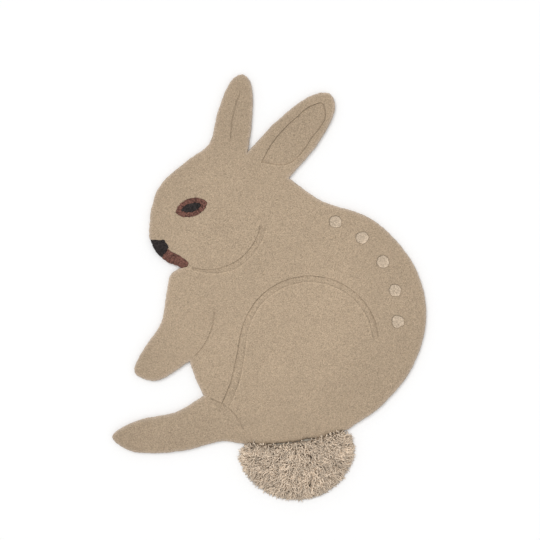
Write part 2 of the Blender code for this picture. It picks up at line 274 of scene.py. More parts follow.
def inside(points, loop):
    """True for points inside a closed outline: the outline passes an odd number of times to their right."""
    start, end = loop, np.roll(loop, -1, axis=0)
    result = np.zeros(len(points), bool)
    order = np.argsort(points[:, 1])
    for part in np.array_split(order, 1 + len(order) // 2000):
        x, y = points[part].T[:, :, None]
        span = (np.minimum(start, end)[:, 1] <= y.max()) & (np.maximum(start, end)[:, 1] >= y.min())
        a, b = start[span], end[span]
        passes = (a[:, 1] > y) != (b[:, 1] > y)
        rise = np.where(a[:, 1] == b[:, 1], 1.0, b[:, 1] - a[:, 1])
        meets = a[:, 0] + (y - a[:, 1]) / rise * (b[:, 0] - a[:, 0])
        result[part] = (passes & (x < meets)).sum(axis=1) % 2 == 1
    return result


def depth_inside(points, loop, reach=0.03):
    """Distance to a closed outline, positive inside it and negative outside."""
    gap = nearest(points, loop, True, reach)[0]
    return np.where(inside(points, loop), gap, -gap)


def shoulder(gap, radius):
    """How far a quarter round of that radius has fallen at a distance from its edge."""
    return radius - np.sqrt(np.maximum(radius**2 - (radius - np.clip(gap, 0, radius)) ** 2, 0))


# ---------------------------------------------------------------- the drawing


@lru_cache(maxsize=None)
def outline(name):
    """One named outline of the rug, taken from the model and set tuft by tuft. The body's sways by soft
    random fields where it meets the tail, and each spot's is a little larger and uneven."""
    step = 0.0018 if name in ("rug", "body", "tail", "canvas") else 0.0011
    if name in ("rug", "canvas"):
        loop = section("body", 0.5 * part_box("nose")[0].z)[0]
    elif name == "tail":
        loop = section("tail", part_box("nose")[0].z + 0.001)[0]
    else:
        loop = section(name, 0.5 * PILE_TOP)[0]
    loop = fair(loop, step)
    if name in SPOTS:
        centre = loop.mean(axis=0)
        return centre + (loop - centre) * (1.03 + 0.10 * drift(loop, 0.0075, 21))[:, None]
    if name in ("tail", "canvas"):
        return loop
    if name == "body":
        inner = ease(nearest(loop, outline("rug"))[0], 0.003, 0.022) * (loop[:, 1] < -0.3)
        sway = 0.0042 * drift(loop, 0.030, 15) + 0.0022 * drift(loop, 0.012, 16)
        sway += 0.0012 * drift(loop, 0.005, 17)
        loop = loop + (inner * sway)[:, None] * (0, 1)
    return ruffle(loop)


@lru_cache(maxsize=None)
def tail_seam():
    """The stretch of the body's outline that the tail's yarn leans on."""
    loop = outline("body")
    free = nearest(loop, outline("rug"))[0] > 0.0012
    free &= nearest(loop, outline("nose"))[0] > 0.003
    free &= nearest(loop, outline("mouth"))[0] > 0.003
    away = np.flatnonzero(~free)
    loop, free = np.roll(loop, -away[0], axis=0), np.roll(free, -away[0])
    return loop[free]


@lru_cache(maxsize=None)
def carved_lines():
    """The shears' lines as (points, kind, ends that fade): wide bands run with their crisp edge on the
    right and their soft edge on the left, thin ones are plain grooves."""
    haunch = np.vstack([arc(**HAUNCH), HAUNCH_FRONT])
    lines = (
        (haunch, "band", (True, False)),
        (arc(**CHEEK), "cheek", (True, False)),
        (FOOT_LINE, "thin", (False, True)),
        (FAR_EAR_LINE, "thin", (True, True)),
        (LEG_LINE, "thin", (False, True)),
    )
    return [(ruffle(fair(rows, 0.0018, closed=False), 0.0004), kind, fades) for rows, kind, fades in lines]


@lru_cache(maxsize=None)
def ear_panel():
    """The outline of the hollow inside the near ear, turning left."""
    loop = ruffle(fair(EAR_PANEL, 0.0018, corner=100.0), 0.0004)
    return loop if signed_area(loop) > 0 else loop[::-1]


def band_width_at(along, total, kind, shape):
    """A band's width in millimetres along its line: the cheek's narrows to 40% over its last 110 mm, the
    haunch's grows by 30% down its front."""
    if kind == "cheek":
        return 1000 * shape.band_width * (0.40 + 0.60 * ease(total - along, 0.0, 0.11))
    return 1000 * shape.band_width * (1.0 + 0.30 * ease(along, total - 0.22, total - 0.10))


def carving(points, shape):
    """What the shears did to each point: how far below the pile's top they went, and the painted shade of the
    cut, below zero where it is a painted highlight. A band drops steeply at its crisp edge and climbs out on
    the other side; a thin line is a narrow V; the ear's hollow is a step down with a groove round it, fainter
    at its root. A line that ends in open pile fades over its last 14 mm. The painted shade of a crisp edge is
    a bell curve of the distance to it; a soft edge is a weaker bell of painted shade with a painted highlight
    beside it, where the pile's cut side catches the light."""
    # dark holds the painted shade of the cuts, below zero where it is a painted highlight
    depth, dark = np.zeros(len(points)), np.zeros(len(points))
    for line, kind, fades in carved_lines():
        gap, side, along = nearest(points, line, False)
        off = gap * side * 1000
        total = np.linalg.norm(np.diff(line, axis=0), axis=1).sum()
        if kind == "thin":
            cut = shape.line_depth * (1 - ease(np.abs(off), 0.0, 0.5 * 1000 * shape.line_width))
            # painted shade in the groove, with a faint painted highlight beside it
            shade = 0.26 * bell(off, 0.0, 1.3) - 0.05 * bell(off, 2.6, 1.3)
        else:
            width = band_width_at(along, total, kind, shape)
            floor = 1 - 0.30 * ease(off, 1.5, 0.6 * width)
            cut = shape.band_depth * floor * ease(off, -0.8, 0.5) * (1 - ease(off, width - 2.2, width))
            cut += 0.0009 * bell(off, 0.3, 1.0)
            crisp, soft = (0.20, 0.20) if kind == "cheek" else (0.25, 0.24)
            # painted shade at the crisp edge with a faint painted highlight outside it, weaker painted shade
            # at the soft edge with a painted highlight beyond it, and light painted shade over the band's
            # floor
            shade = crisp * bell(off, 0.1, 1.2) - 0.06 * bell(off, -2.4, 1.4)
            shade += soft * bell(off, width - 1.7, 1.2) - 0.15 * bell(off, width + 0.7, 1.6)
            shade += 0.025 * ease(off, 1.0, 3.0) * (1 - ease(off, width - 3.0, width - 1.0))
        fade = 0.92 + 0.30 * drift(points, 0.026, 37)
        if fades[0]:
            fade *= ease(along, 0.0, 0.014)
        if fades[1]:
            fade *= ease(total - along, 0.0, 0.014)
        depth = np.maximum(depth, cut * np.minimum(fade, 1))
        shade *= fade
        dark = np.where(np.abs(shade) > np.abs(dark), shade, dark)
    within = depth_inside(points, ear_panel()) * 1000
    hollow = shape.ear_depth * ease(within, -0.4, 0.5) + 0.0010 * bell(within, 0.4, 0.9)
    at_root = ease(0.36 - points[:, 1], 0.0, 0.03)
    # painted shade in the groove round the ear's hollow, weaker at its root, with a faint painted highlight
    # just outside, stronger at its root
    shade = (0.25 - 0.18 * at_root) * bell(within, 0.2, 1.2)
    shade -= (0.05 + 0.08 * at_root) * bell(within, -2.0, 1.3)
    shade *= 0.95 + 0.30 * drift(points, 0.026, 38)
    dark = np.where(np.abs(shade) > np.abs(dark), shade, dark)
    return np.maximum(depth, hollow), dark


def bell(x, centre, width):
    """One at the centre, falling off as the exponential of minus the square of the distance."""
    return np.exp(-(((x - centre) / width) ** 2))


def rim_fall(points, shape):
    """How far the outer edge of the pile has rounded off, at the outline and beside the tail."""
    gap = nearest(points, outline("rug"))[0]
    beside_tail = nearest(points, tail_seam(), False)[0]
    fall = np.maximum(shoulder(gap, shape.rim_round), shoulder(beside_tail, 1.9 * shape.rim_round))
    return fall + 0.0004 * (1 - ease(np.minimum(gap, beside_tail), 0.003, 0.011))


def lumps(points, strength=1.0):
    """The unevenness of cut pile: soft swells 90 and 30 mm across and clumps of tufts 7 mm across."""
    swell = 0.00030 * drift(points, 0.09, 31) + 0.00022 * drift(points, 0.03, 32)
    return strength * (swell + 0.00016 * drift(points, 0.007, 33))


def coat_attributes(points, shape):
    """Two values at each point of the coat. The first is painted shade with random tone, how light the wool
    looks: full round the haunch and cheek, with soft hand-sized random patches, and painted shade up to a
    tenth darker outwards where the pile leans away, a little darker to the lower left, darker in the cuts
    (with painted highlights beside their soft edges), round the spots, round the eye, nose and mouth, and
    beside the tail. The second is painted sheen on the rim, how far the colour is taken towards a pale pink:
    a bell curve of the distance to the outline, faded out beside the tail."""
    away = np.linalg.norm((points - COAT_CENTRE) * (1.0, 0.92), axis=1)
    # painted shade: up to a tenth darker outwards from the coat's lightest middle
    nap = 1 - 0.095 * ease(away, 0.20, 0.42)
    nap += 0.022 * drift(points, 0.11, 34) + 0.018 * drift(points, 0.045, 35)
    # painted shade a little darker to the lower left, then the cuts' painted shade and highlights
    nap -= 0.035 * ease(-points @ (1.0, 0.5), 0.16, 0.34) + carving(points, shape)[1]
    for name in SPOTS:
        shaded = spot_side(points, outline(name))
        # painted shade on the coat round each spot, strongest at its upper left
        nap -= (0.07 + 0.20 * shaded) * bell(nearest(points, outline(name))[0] * 1000, 0.5, 1.4)
    # painted shade where the coat meets the eye rim, nose and mouth
    for name in ("eye_rim", "nose", "mouth"):
        nap -= 0.10 * bell(nearest(points, outline(name))[0] * 1000, 0.3, 1.2)
    beside_tail = nearest(points, tail_seam(), False)[0] * 1000
    # painted shade in a band beside the tail
    nap -= 0.13 * bell(beside_tail, 0.0, 7.0) * (0.70 + 0.50 * drift(points, 0.009, 36))
    gap = nearest(points, outline("rug"))[0] * 1000
    # the second value is painted sheen on the rim, faded out beside the tail
    return (("nap", nap), ("halo", bell(gap, 0.0, 4.5) * (1 - bell(beside_tail, 0.0, 12.0))))


def spot_side(points, ring):
    """How far a point lies to a spot's upper left, eased from none at the lower right to one: where the
    painted shade round a spot is strongest.
    """
    spoke = points - ring.mean(axis=0)
    spoke /= np.maximum(np.linalg.norm(spoke, axis=1, keepdims=True), 1e-6)
    return ease(spoke @ (-0.6, 0.8), -0.7, 0.7)


def spot_attributes(points, ring):
    """A spot's painted shade with random tone: painted shade just inside its upper left edge, with a painted
    highlight crescent inside the lower right.
    """
    shaded = spot_side(points, ring)
    gap = nearest(points, ring)[0] * 1000
    # painted shade inside the upper left edge, a painted highlight crescent inside the lower right
    nap = 1 - (0.04 + 0.16 * shaded) * bell(gap, 0.0, 1.3) + 0.13 * (1 - shaded) * bell(gap, 3.2, 2.0)
    return (("nap", nap + 0.05 * drift(points, 0.006, 39)), ("halo", np.zeros(len(points))))


# ---------------------------------------------------------------- meshes


def mesh_of(name, points, shapes, material, attributes=(), uv=None):
    """A new object from whole arrays: points, and one array of corner numbers per count of corners."""
    mesh = bpy.data.meshes.new(name)
    mesh.vertices.add(len(points))
    mesh.vertices.foreach_set("co", np.ascontiguousarray(points, np.float32).ravel())
    counts = np.concatenate([np.full(len(shape), shape.shape[1], np.int32) for shape in shapes])
    corners = np.concatenate([np.asarray(shape, np.int32).ravel() for shape in shapes])
    mesh.loops.add(len(corners))
    mesh.loops.foreach_set("vertex_index", corners)
    mesh.polygons.add(len(counts))
    mesh.polygons.foreach_set("loop_start", (np.cumsum(counts) - counts).astype(np.int32))
    mesh.polygons.foreach_set("use_smooth", np.ones(len(counts), bool))
    mesh.update(calc_edges=True)
    for label, values in attributes:
        layer = mesh.attributes.new(label, "FLOAT", "POINT")
        layer.data.foreach_set("value", np.asarray(values, np.float32))
    if uv is not None:
        mesh.uv_layers.new(name="yarn").data.foreach_set("uv", uv[corners].astype(np.float32).ravel())
    if mesh.validate():
        raise RuntimeError(f"{name} had faces that can't stand")
    mesh.materials.append(material)
    piece = bpy.data.objects.new(name, mesh)
    bpy.context.scene.collection.objects.link(piece)
    return piece


def triangles(ring, free=None):
    """Triangles over a closed outline and the free points inside it, turning left (constrained Delaunay)."""
    points = ring if free is None else np.vstack([ring, free])
    edges = np.stack([np.arange(len(ring)), np.roll(np.arange(len(ring)), -1)], axis=1)
    made = delaunay_2d_cdt([Vector(p) for p in points.tolist()], edges.tolist(), [], 1, 1e-7, False)
    if len(made[0]) != len(points):
        raise RuntimeError("two points of a pile patch fell together")
    faces = np.array(made[2])
    faces = faces[inside(points[faces].mean(axis=1), ring)]
    a, b, c = points[faces].transpose(1, 0, 2)
    flipped = (b - a)[:, 0] * (c - a)[:, 1] < (b - a)[:, 1] * (c - a)[:, 0]
    faces[flipped] = faces[flipped][:, ::-1]
    return faces


def jittered_grid(loop, pitch, jitter, seed):
    """A six-sided grid over a closed outline's box, each point moved at random by up to jitter pitches."""
    low, high = loop.min(axis=0), loop.max(axis=0)
    count_x, count_y = ((high - low) / (pitch, 0.866 * pitch)).astype(int) + 2
    j, i = np.mgrid[0:count_y, 0:count_x]
    grid = np.stack([(i + 0.5 * (j % 2)) * pitch, j * 0.866 * pitch], axis=2).reshape(-1, 2) + low
    return grid + np.random.default_rng(seed).uniform(-jitter, jitter, grid.shape) * pitch


def scattered(ring, pitch, rows, seed):
    """Free points for a patch of pile: the given rows of points, then a jittered six-sided grid wherever
    no row has claimed the ground, all of it clear of the outline."""
    low, high = ring.min(axis=0), ring.max(axis=0)
    grid = jittered_grid(ring, pitch, 0.22, seed)
    rows = [row for row in rows if len(row)]
    lines = np.vstack(rows) if rows else np.zeros((0, 2))
    cell = 0.55 * pitch
    if len(lines):
        lines = lines[inside(lines, ring) & (nearest(lines, ring)[0] > 0.00035)]
        _, kept = np.unique(np.floor((lines - low) / 0.0005).astype(int), axis=0, return_index=True)
        lines = lines[np.sort(kept)]
        size = ((high - low) / cell).astype(int) + 4
        taken = np.zeros(size, bool)
        at = np.floor((lines - low) / cell).astype(int) + 1
        for di in (-1, 0, 1):
            for dj in (-1, 0, 1):
                taken[np.clip(at[:, 0] + di, 0, size[0] - 1), np.clip(at[:, 1] + dj, 0, size[1] - 1)] = True
        at = np.clip(np.floor((grid - low) / cell).astype(int) + 1, 0, size - 1)
        grid = grid[~taken[at[:, 0], at[:, 1]]]
    grid = grid[inside(grid, ring)]
    grid = grid[nearest(grid, ring)[0] > 0.6 * pitch]
    return np.vstack([lines, grid])


def rows_beside(line, offsets, closed=True):
    """Rows of points alongside a line at offsets in millimetres, kept only where they are truly that far
    from it, so that no row crosses itself inside a bend."""
    made = []
    for offset in offsets:
        row = beside(line, offset / 1000, closed)
        made.append(row[nearest(row, line, closed)[0] > 0.9 * abs(offset) / 1000])
    return made


def wall(below, above, count):
    """The four-sided faces between two rings of count points, from the number that each ring starts at."""
    here, there = np.arange(count), np.roll(np.arange(count), -1)
    return np.stack([below + here, below + there, above + there, above + here], axis=1)


def pile(name, ring, height, pitch, rows, bottom, material, seed, splay=0.0006, attributes=None):
    """A closed patch of cut pile: its top is a height over every point inside the outline, its sides are
    four rings that belly outwards by a sine and stray tuft by tuft, and its underside is flat."""
    free = scattered(ring, pitch, rows, seed)
    top = triangles(ring, free)
    flat = np.vstack([ring, free])
    heights = height(flat)
    rng = np.random.default_rng(seed + 1)
    heights[len(ring):] += rng.normal(0.0, 0.00007, len(free))
    count = len(ring)
    sides, normal = [], outward(ring)
    strands = 0.4 + 0.6 * rng.uniform(-1, 1, count)
    for share in (0.3, 0.6, 0.85, 1.0):
        belly = splay * (math.sin(math.pi * min(share, 0.9)) + 0.7 * strands * (1 - share**3))
        level = heights[:count] * (1 - share) + bottom * share
        sides.append(np.column_stack([ring + normal * belly[:, None], level]))
    points = np.vstack([np.column_stack([flat, heights])] + sides)
    levels = [0] + [len(flat) + k * count for k in range(4)]
    walls = [wall(below, above, count) for above, below in zip(levels[:-1], levels[1:])]
    under = triangles(ring)[:, ::-1] + levels[-1]
    values = attributes(points[:, :2]) if attributes else ()
    return mesh_of(name, points, [np.vstack([top, under]), np.vstack(walls)], material, values)


def adopt(piece, slot, *nodes):
    """Ties a piece to the rug's one body and hides the nodes of the model it stands for. The slot is not
    used.
    """
    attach(piece, "root")
    if nodes:
        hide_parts(*nodes)
    return piece


# ---------------------------------------------------------------- materials


class Tree:
    """A short way to write node trees: add() makes a node with its settings and inputs, where an input
    given as another node's output is linked and anything else is its value."""

    def __init__(self, tree):
        self.tree = tree
        self.count = 0

    def add(self, kind, inputs=None, **settings):
        node = self.tree.nodes.new("ShaderNode" + kind)
        node.location = (180 * (self.count % 8), -220 * (self.count // 8))
        self.count += 1
        for key, value in settings.items():
            setattr(node, key, value)
        for key, value in (inputs or {}).items():
            if isinstance(value, bpy.types.NodeSocket):
                self.tree.links.new(value, node.inputs[key])
            else:
                node.inputs[key].default_value = value
        return node

    def math(self, operation, *values):
        return self.add("Math", dict(enumerate(values)), operation=operation).outputs[0]

    def times(self, first, second):
        return self.math("MULTIPLY", first, second)

    def plus(self, first, second):
        return self.math("ADD", first, second)

    def swing(self, noise, strength):
        """A noise's swing about its middle value, times a strength."""
        return self.times(self.math("SUBTRACT", noise, 0.5), strength)

    def shaded(self, colour, shade):
        """A colour times a number."""
        grey = self.add("CombineColor", {"Red": shade, "Green": shade, "Blue": shade}).outputs[0]
        return self.mix(1.0, colour, grey, "MULTIPLY")

    def give(self, result, colour, height, noise, share, rest):
        """Feeds a group's outputs, the roughness by a share of a noise plus the rest."""
        rough = self.plus(self.times(noise.outputs["Fac"], share), rest)
        for label, value in (("Colour", colour), ("Height", height), ("Roughness", rough)):
            self.tree.links.new(value, result[label])
        return self.tree

    def mix(self, factor, first, second, blend="MIX"):
        node = self.add("Mix", data_type="RGBA", blend_type=blend)
        for key, value in (("Factor_Float", factor), ("A_Color", first), ("B_Color", second)):
            socket = next(s for s in node.inputs if s.identifier == key)
            if isinstance(value, bpy.types.NodeSocket):
                self.tree.links.new(value, socket)
            else:
                socket.default_value = value
        return next(s for s in node.outputs if s.identifier == "Result_Color")


def group(name, inputs):
    """A new shader node group that gives colour, height and roughness: its inner tree, inputs and outputs."""
    tree = bpy.data.node_groups.new(name, "ShaderNodeTree")
    for label, kind, value in inputs:
        socket = tree.interface.new_socket(label, in_out="INPUT", socket_type="NodeSocket" + kind)
        if value is not None:
            socket.default_value = value
    for label, kind in (("Colour", "Color"), ("Height", "Float"), ("Roughness", "Float")):
        tree.interface.new_socket(label, in_out="OUTPUT", socket_type="NodeSocket" + kind)
    inner = Tree(tree)
    start = tree.nodes.new("NodeGroupInput")
    end = tree.nodes.new("NodeGroupOutput")
    return inner, start.outputs, end.inputs


@lru_cache(maxsize=None)
def wool_grain():
    """The look of cut wool pile. Colour: the yarn's colour times one plus fine, middle and broad noise, with
    single tufts tinted warm or pink. Height: domed tufts (one minus the distance to the nearest tuft's
    centre) roughened by fine fibre noise."""
    inner, given, result = group(
        "Cut wool pile",
        [
            ("Vector", "Vector", None),
            ("Colour", "Color", (0.5, 0.4, 0.3, 1)),
            ("Mottle", "Float", 1.0),
            ("Specks", "Float", 1.0),
            ("Nap", "Float", 1.0),
            ("Halo", "Float", 0.0),
            ("Tufts per metre", "Float", 290.0),
        ],
    )
    place = given["Vector"]
    scale = given["Tufts per metre"]
    tufts = inner.add("TexVoronoi", {"Vector": place, "Scale": scale, "Randomness": 1.0})
    fine = inner.add("TexNoise", {"Vector": place, "Scale": 400.0, "Detail": 2.0, "Roughness": 0.6})
    middle = inner.add("TexNoise", {"Vector": place, "Scale": 90.0, "Detail": 2.0, "Roughness": 0.5})
    broad = inner.add("TexNoise", {"Vector": place, "Scale": 9.0, "Detail": 2.0})
    fibre = inner.add("TexNoise", {"Vector": place, "Scale": 1500.0, "Detail": 1.0})
    single = inner.add("SeparateColor", {"Color": tufts.outputs["Color"]}).outputs
    shade = 1.0
    for source, strength in (
        (fine.outputs["Fac"], 1.20),
        (middle.outputs["Fac"], 0.13),
        (broad.outputs["Fac"], 0.10),
        (single["Blue"], 0.32),
    ):
        shade = inner.plus(inner.times(inner.swing(source, strength), given["Mottle"]), shade)
    # painted shade: darker away from each tuft's centre, between the tufts
    crevice = inner.times(inner.math("SUBTRACT", tufts.outputs["Distance"], 0.45), -0.14)
    shade = inner.plus(shade, inner.times(crevice, given["Mottle"]))
    # times the mesh's painted shade and random tone
    shade = inner.times(shade, given["Nap"])
    # painted sheen on the rim: the colour taken up to 42% of the way to a pale pink
    colour = inner.mix(inner.times(given["Halo"], 0.42), given["Colour"], (0.66, 0.55, 0.46, 1))
    colour = inner.shaded(colour, shade)
    warm = inner.times(inner.math("GREATER_THAN", single["Red"], 0.90), given["Specks"])
    pink = inner.times(inner.math("GREATER_THAN", single["Green"], 0.90), given["Specks"])
    colour = inner.mix(inner.times(warm, 0.22), colour, (1.08, 1.05, 0.90, 1), "MULTIPLY")
    colour = inner.mix(inner.times(pink, 0.25), colour, (1.08, 0.95, 0.98, 1), "MULTIPLY")
    dome = inner.math("SUBTRACT", 1.0, tufts.outputs["Distance"])
    height = inner.plus(dome, inner.times(fibre.outputs["Fac"], 0.5))
    height = inner.plus(height, inner.times(fine.outputs["Fac"], 0.8))
    return inner.give(result, colour, height, fibre, 0.12, 0.86)


@lru_cache(maxsize=None)
def yarn_twist():
    """The look of a loose two-ply yarn from its own UV map (round it, along it in metres). The plies are a
    sine of twice the turn plus the run, with painted shade in the grooves between them; colour falls off to a
    root colour that is painted shade deep in the shag, by the piece's own run attribute."""
    inner, given, result = group(
        "Two ply yarn",
        [
            ("UV", "Vector", None),
            ("Vector", "Vector", None),
            ("Colour", "Color", (0.5, 0.4, 0.3, 1)),
            ("Root colour", "Color", (0.2, 0.15, 0.1, 1)),
            ("Run", "Float", 1.0),
            ("Shade", "Float", 1.0),
        ],
    )
    across = inner.add("SeparateXYZ", {"Vector": given["UV"]}).outputs
    turn = inner.times(across["X"], 4 * math.pi)
    turn = inner.plus(turn, inner.times(across["Y"], 2 * math.pi / 0.0065))
    ply = inner.times(inner.plus(inner.math("SINE", turn), 1.0), 0.5)
    fibre = inner.add("TexNoise", {"Vector": given["Vector"], "Scale": 900.0, "Detail": 2.0})
    tone = inner.add("TexNoise", {"Vector": given["Vector"], "Scale": 45.0, "Detail": 2.0})
    shade = inner.swing(fibre.outputs["Fac"], 0.30)
    # painted shade in the grooves between the plies, lighter on their crests
    shade = inner.plus(shade, inner.swing(ply, 0.16))
    shade = inner.plus(shade, inner.swing(tone.outputs["Fac"], 0.25))
    shade = inner.plus(shade, given["Shade"])
    # painted shade: the yarn darkens to the root colour towards its root
    colour = inner.mix(given["Run"], given["Root colour"], given["Colour"])
    colour = inner.shaded(colour, shade)
    height = inner.plus(ply, inner.times(fibre.outputs["Fac"], 0.5))
    return inner.give(result, colour, height, fibre, 0.12, 0.84)


@lru_cache(maxsize=None)
def canvas_weave():
    """Plain weave canvas: two sine bands square to each other, each thread over the other by turns, with
    slubs from noise."""
    inner, given, result = group(
        "Plain canvas weave",
        [
            ("Vector", "Vector", None),
            ("Colour", "Color", (0.6, 0.55, 0.45, 1)),
            ("Threads per metre", "Float", 620.0),
        ],
    )
    axes = inner.add("SeparateXYZ", {"Vector": given["Vector"]}).outputs
    count = inner.times(given["Threads per metre"], math.pi)
    warp = inner.math("SINE", inner.times(axes["X"], count))
    weft = inner.math("SINE", inner.times(axes["Y"], count))
    over = inner.times(warp, weft)
    slub = inner.add("TexNoise", {"Vector": given["Vector"], "Scale": 240.0, "Detail": 3.0})
    soil = inner.add("TexNoise", {"Vector": given["Vector"], "Scale": 14.0, "Detail": 3.0})
    # painted shade: darker where the weave dips, lighter where it stands high
    shade = inner.plus(inner.times(over, 0.10), 0.80)
    shade = inner.plus(shade, inner.times(slub.outputs["Fac"], 0.22))
    shade = inner.plus(shade, inner.times(soil.outputs["Fac"], 0.16))
    colour = inner.shaded(given["Colour"], shade)
    height = inner.plus(over, inner.times(slub.outputs["Fac"], 0.6))
    return inner.give(result, colour, height, slub, 0.10, 0.80)


def finish_material(name, tree, fill, bump, sheen, tint):
    """A Principled material fed by one of the groups: its colour, roughness and bump vary over the surface,
    and the soft sheen of wool is set on the shader's own sockets."""
    material = bpy.data.materials.new(name)
    material.use_nodes = True
    material.node_tree.nodes.clear()
    made = Tree(material.node_tree)
    place = made.add("TexCoord").outputs["Object"]
    surface = made.add("Group", node_tree=tree)
    material.node_tree.links.new(place, surface.inputs["Vector"])
    for key, value in fill(made).items():
        if isinstance(value, bpy.types.NodeSocket):
            material.node_tree.links.new(value, surface.inputs[key])
        else:
            surface.inputs[key].default_value = value
    relief = made.add(
        "Bump", {"Strength": bump[0], "Distance": bump[1], "Height": surface.outputs["Height"]}
    )
    shader = made.add(
        "BsdfPrincipled",
        {
            "Base Color": surface.outputs["Colour"],
            "Roughness": surface.outputs["Roughness"],
            "Normal": relief.outputs["Normal"],
            "Specular IOR Level": 0.18,
            "Sheen Weight": sheen,
            "Sheen Roughness": 0.55,
            "Sheen Tint": (*tint, 1.0),
        },
    )
    made.add("OutputMaterial", {"Surface": shader.outputs["BSDF"]})
    return material


@lru_cache(maxsize=None)
def wool(name, colour, mottle, specks, tufts, coat=False):
    """Cut pile in one colour of yarn. The coat's also follows its mesh's painted shade with random tone and
    its painted sheen on the rim.
    """

    def fill(made):
        values = {"Colour": (*colour, 1), "Mottle": mottle, "Specks": specks, "Tufts per metre": tufts}
        if coat:
            values["Nap"] = made.add("Attribute", attribute_name="nap").outputs["Fac"]
            values["Halo"] = made.add("Attribute", attribute_name="halo").outputs["Fac"]
        return values

    return finish_material(
        name,
        wool_grain(),
        fill,
        (0.55, 0.0012),
        0.22,
        tuple(min(1.0, 0.35 + 1.2 * c) for c in colour),
    )


# ---------------------------------------------------------------- settings


def length_property(name, description, value):
    """A length setting."""
    return bpy.props.FloatProperty(name=name, description=description, default=value, unit="LENGTH")


def colour_property(name, description, value):
    """A colour setting."""
    return bpy.props.FloatVectorProperty(
        name=name, description=description, default=value, subtype="COLOR", size=3, min=0, max=1
    )


class RugShape(bpy.types.PropertyGroup):
    """Sizes of the pile and of what the shears carve into it."""

    rim_round: length_property("Rim round", "Radius of the pile's outer edge", 0.0036)
    band_width: length_property("Band width", "Width of the carved bands", 0.0165)
    band_depth: length_property("Band depth", "Depth of the carved bands", 0.0021)
    line_width: length_property("Line width", "Width of the thin carved lines", 0.0044)
    line_depth: length_property("Line depth", "Depth of the thin carved lines", 0.0022)
    ear_depth: length_property("Ear depth", "Depth of the hollow in the near ear", 0.0023)
    spot_bowl: length_property("Spot bowl", "How far the spots dip at their middle", 0.0019)
    pitch: length_property("Tuft pitch", "Spacing of the body's tufts in the mesh", 0.0028)


class RugTail(bpy.types.PropertyGroup):
    """The tail's long yarn."""

    spacing: length_property("Yarn spacing", "Spacing of the tail's yarns", 0.0029)
    length: length_property("Yarn length", "Length of the tail's yarns", 0.0260)
    radius: length_property("Yarn radius", "Half the thickness of one yarn", 0.00118)
    reach: length_property("Overhang", "How far the rim's yarns reach past their roots", 0.0155)


class RugColours(bpy.types.PropertyGroup):
    """The yarns' colours, linear."""

    body: colour_property("Body wool", "Cut pile of the rabbit's coat", (0.440, 0.338, 0.236))
    spots: colour_property("Spot wool", "Paler pile of the round spots", (0.535, 0.430, 0.322))
    tail: colour_property("Tail wool", "Long yarn of the tail", (0.835, 0.690, 0.540))
    # painted shade: the tail yarn's colour as it looks deep in the shag
    tail_root_shade: colour_property("Tail root shade", "The same yarn deep in the shag", (0.270, 0.200, 0.138))
    brown: colour_property("Brown wool", "Eye rim and mouth", (0.145, 0.066, 0.050))
    black: colour_property("Black wool", "Nose and pupil", (0.026, 0.021, 0.020))
    canvas: colour_property("Canvas", "Woven backing", (0.560, 0.520, 0.440))


# ---------------------------------------------------------------- pieces


def body_height(points, shape):
    """The coat's surface: the pile's top, less the rounded rim, the carvings, the small rounded lips beside
    other yarns, down to the canvas in the pockets of the eye and the spots, with its lumps."""
    lips = np.zeros(len(points))
    for name in ("nose", "mouth"):
        lips = np.maximum(lips, shoulder(nearest(points, outline(name))[0] - 0.0003, 0.0011))
    sunk = np.zeros(len(points), bool)
    for name in ("eye_rim",) + SPOTS:
        within = depth_inside(points, outline(name))
        lips = np.maximum(lips, shoulder(-within - 0.0001, 0.0013))
        sunk |= within > -0.0001
    height = PILE_TOP - np.maximum(rim_fall(points, shape), lips) - carving(points, shape)[0] + lumps(points)
    return np.where(sunk, PAD + 0.0006, height)


def tuft_body(rug):
    """The coat in one patch, with rows of points along every edge, band and pocket."""
    shape = rug.rug_shape
    ring = outline("body")
    rows = rows_beside(ring, RIM_ROWS)
    for line, kind, _ in carved_lines():
        rows += rows_beside(line, CRISP_ROWS if kind != "thin" else THIN_ROWS, False)
        if kind != "thin":
            run = np.append(0.0, np.cumsum(np.linalg.norm(np.diff(line, axis=0), axis=1)))
            width = band_width_at(run, run[-1], kind, shape)[:, None]
            rows += [beside(line, (width + offset) / 1000, False) for offset in SOFT_ROWS]
    rows += rows_beside(ear_panel(), PANEL_ROWS)
    for name in ("eye_rim",) + SPOTS:
        rows += rows_beside(outline(name), POCKET_ROWS)
    material = wool("coat_wool", tuple(rug.rug_colours.body), 1.0, 1.0, 420.0, True)
    piece = pile(
        "body_pile",
        ring,
        lambda p: body_height(p, shape),
        shape.pitch,
        rows,
        PAD,
        material,
        101,
        attributes=lambda p: coat_attributes(p, shape),
    )
    return adopt(piece, "wool", "body")


def inlay_height(points, shape, ring, pocket=None, top=PILE_TOP):
    """An inlaid yarn's surface: level with the coat, its edge rounded, sunk where another yarn sits in it."""
    own = shoulder(nearest(points, ring)[0], 0.0012)
    height = top - np.maximum(rim_fall(points, shape), own) + lumps(points, 0.8)
    if pocket is None:
        return height
    within = depth_inside(points, pocket)
    height -= shoulder(-within - 0.0001, 0.0011)
    return np.where(within > -0.0001, PAD + 0.0006, height)


def grown(loop, by):
    """An outline moved outwards."""
    return loop + by * outward(loop)


